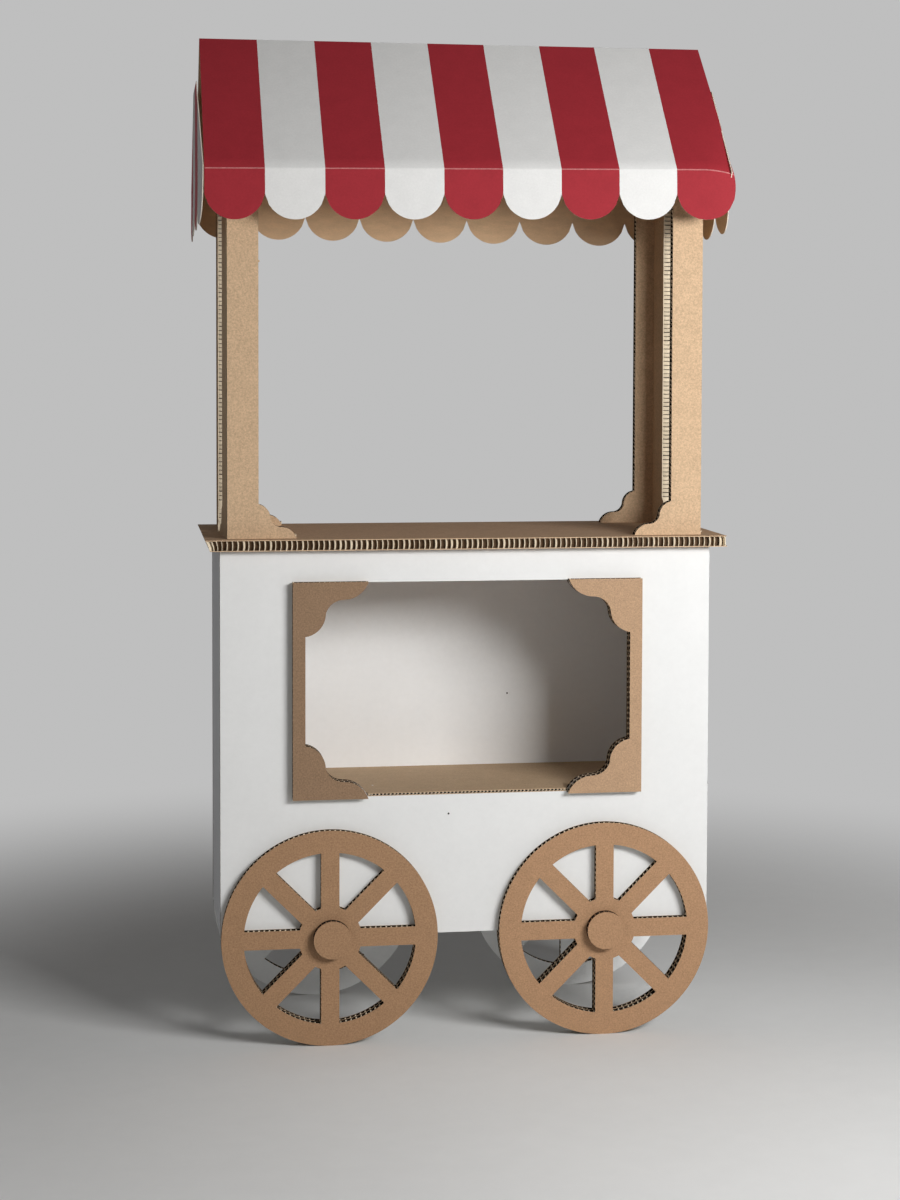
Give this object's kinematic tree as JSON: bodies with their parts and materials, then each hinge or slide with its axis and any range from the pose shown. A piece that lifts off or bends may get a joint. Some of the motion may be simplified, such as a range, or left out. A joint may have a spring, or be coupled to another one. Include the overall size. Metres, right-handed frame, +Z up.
{
  "type": "display stand",
  "caption": "Cardboard display stand shaped like a market cart: white box body with a framed window, kraft half-wheel feet, honeycomb table, corner posts and a striped scalloped awning.",
  "frame": {"origin": "floor level, under the centre of the bounding box", "axes": "+X to the right as seen from the front, +Y from the front with the window to the back, +Z up"},
  "size_m": [0.769, 0.3434, 1.4662],
  "materials": {
    "white_board": "matte",
    "kraft_board": "matte",
    "shelf_board": "matte",
    "printed_card": "satin",
    "cut_edge": "matte",
    "cell_hollow": "matte"
  },
  "bodies": {
    "root": {"front_panel": "white_board", "back_panel": "white_board", "side_panel_left": "white_board", "side_panel_right": "white_board", "bottom_panel": "white_board", "shelf": "shelf_board", "table_top": "kraft_board", "window_bracket_left": "kraft_board", "window_bracket_right": "kraft_board", "wheel_left": "kraft_board", "wheel_right": "kraft_board", "hub_disc_left": "kraft_board", "hub_disc_right": "kraft_board", "post_front_left_face": "kraft_board", "post_front_left_side": "kraft_board", "post_front_right_face": "kraft_board", "post_front_right_side": "kraft_board", "post_back_left_face": "kraft_board", "post_back_left_side": "kraft_board", "post_back_right_face": "kraft_board", "post_back_right_side": "kraft_board", "top_rail_front": "kraft_board", "top_rail_back": "kraft_board", "gable_left": "kraft_board", "gable_right": "kraft_board", "awning": "printed_card", "side_flap_left": "printed_card", "side_flap_right": "printed_card"}
  },
  "joints": []
}
